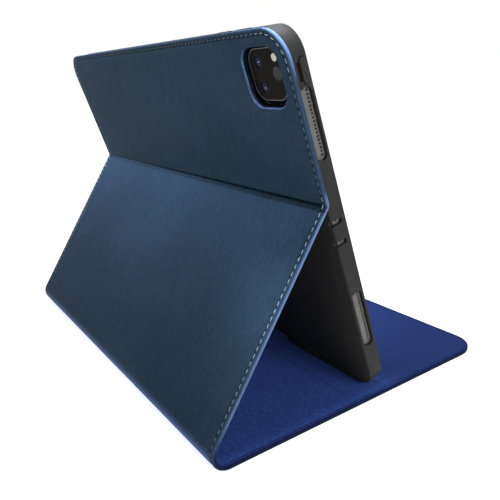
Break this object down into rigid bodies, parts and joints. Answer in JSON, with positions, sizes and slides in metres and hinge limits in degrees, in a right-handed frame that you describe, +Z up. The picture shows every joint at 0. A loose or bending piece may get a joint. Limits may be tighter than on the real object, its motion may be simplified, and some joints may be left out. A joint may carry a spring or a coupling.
{
  "type": "tablet folio case",
  "caption": "Leather folio case standing as an easel: a rubber tray holds a tablet, a folded back panel props it up and the front cover lies flat as its base.",
  "frame": {"origin": "middle of the footprint, on the surface that the case stands on", "axes": "+X along the tablet's long edge, -Y towards the reader, +Z up"},
  "size_m": [0.2568, 0.1814, 0.1807],
  "materials": {
    "cover_leather": "satin grained navy leather with a painted blue edge",
    "cover_lining": "short-nap royal blue lining",
    "cover_board": "pressed grey board",
    "thread": "pale blue waxed thread",
    "magnet": "nickel plated strip magnet",
    "adhesive": "black bonding sheet",
    "tray_rubber": "matte charcoal moulded rubber",
    "microfibre": "grey microfibre",
    "button_rubber": "matte charcoal moulded rubber",
    "tablet_aluminium": "bead-blasted anodised grey",
    "cover_glass": "glossy black glass face",
    "display": "switched-off screen",
    "battery": "pouch foil",
    "circuit_board": "green laminate",
    "camera_glass": "polished black glass",
    "lens_ring": "polished dark ring",
    "lens_glass": "coated lens",
    "camera_module": "black camera module",
    "flash_lens": "frosted cream diffuser",
    "depth_window": "dark grey window",
    "speaker_box": "black speaker box",
    "port_steel": "steel receptacle"
  },
  "bodies": {
    "front_cover": {"front_cover_leather": "cover_leather", "front_cover_board": "cover_board", "front_cover_lining": "cover_lining", "front_cover_thread": "thread", "closure_magnets": "magnet", "dock_magnet_strip": "magnet"},
    "spine": {"spine_leather": "cover_leather", "spine_stiffener": "cover_board", "spine_lining": "cover_lining", "spine_thread": "thread"},
    "kickstand": {"kickstand_leather": "cover_leather", "kickstand_board": "cover_board", "kickstand_lining": "cover_lining", "kickstand_thread": "thread"},
    "tray": {"back_panel_leather": "cover_leather", "back_panel_board": "cover_board", "back_panel_adhesive": "adhesive", "back_panel_thread": "thread", "tray_shell": "tray_rubber", "tray_liner": "microfibre"},
    "power_pad": {"power_button": "button_rubber"},
    "volume_up_pad": {"volume_up_button": "button_rubber"},
    "volume_down_pad": {"volume_down_button": "button_rubber"},
    "tablet": {"tablet_housing": "tablet_aluminium", "tablet_glass": "cover_glass", "display_panel": "display", "battery_cells": "battery", "logic_board": "circuit_board", "camera_bump": "tablet_aluminium", "camera_plate": "camera_glass", "lens_rings": "lens_ring", "lens_glasses": "lens_glass", "camera_sensors": "camera_module", "flash_lens": "flash_lens", "depth_sensor": "depth_window", "front_camera": "camera_module", "speaker_boxes": "speaker_box", "usb_port": "port_steel"},
    "tablet_power_key": {"tablet_power_button": "tablet_aluminium"},
    "tablet_volume_up_key": {"tablet_volume_up": "tablet_aluminium"},
    "tablet_volume_down_key": {"tablet_volume_down": "tablet_aluminium"}
  },
  "joints": [
    {"name": "spine_front_fold", "type": "hinge", "parent": "front_cover", "child": "spine", "pos_m": [0, 0.08581, 0], "axis": [-1, 0, 0], "range_deg": [0, 62.26]},
    {"name": "spine_rear_fold", "type": "hinge", "parent": "spine", "child": "kickstand", "pos_m": [0, 0.09077, 0.00956], "axis": [-1, 0, 0], "range_deg": [0, 62.26]},
    {"name": "back_fold", "type": "hinge", "parent": "kickstand", "child": "tray", "pos_m": [0, 0.02305, 0.10595], "axis": [1, 0, 0], "range_deg": [0, 50.51]},
    {"name": "tablet_lift", "type": "slide", "parent": "tray", "child": "tablet", "axis": [0, -0.9634, 0.2679], "range_m": [0, 0.06]},
    {"name": "power_press", "type": "slide", "parent": "tray", "child": "power_pad", "axis": [1, 0, 0], "range_m": [0, 0.0004], "stiffness_N_per_m": 4000},
    {"name": "volume_up_press", "type": "slide", "parent": "tray", "child": "volume_up_pad", "axis": [0, -0.2679, -0.9634], "range_m": [0, 0.0004], "stiffness_N_per_m": 4000},
    {"name": "volume_down_press", "type": "slide", "parent": "tray", "child": "volume_down_pad", "axis": [0, -0.2679, -0.9634], "range_m": [0, 0.0004], "stiffness_N_per_m": 4000},
    {"name": "tablet_power_press", "type": "slide", "parent": "tablet", "child": "tablet_power_key", "axis": [1, 0, 0], "range_m": [0, 0.0002]},
    {"name": "tablet_volume_up_press", "type": "slide", "parent": "tablet", "child": "tablet_volume_up_key", "axis": [0, -0.2679, -0.9634], "range_m": [0, 0.0002]},
    {"name": "tablet_volume_down_press", "type": "slide", "parent": "tablet", "child": "tablet_volume_down_key", "axis": [0, -0.2679, -0.9634], "range_m": [0, 0.0002]}
  ],
  "couplings": [
    {"joint": "back_fold", "follows": "spine_rear_fold", "ratio": 0.80967},
    {"joint": "tablet_power_press", "follows": "power_press", "ratio": 0.5},
    {"joint": "tablet_volume_up_press", "follows": "volume_up_press", "ratio": 0.5},
    {"joint": "tablet_volume_down_press", "follows": "volume_down_press", "ratio": 0.5}
  ]
}
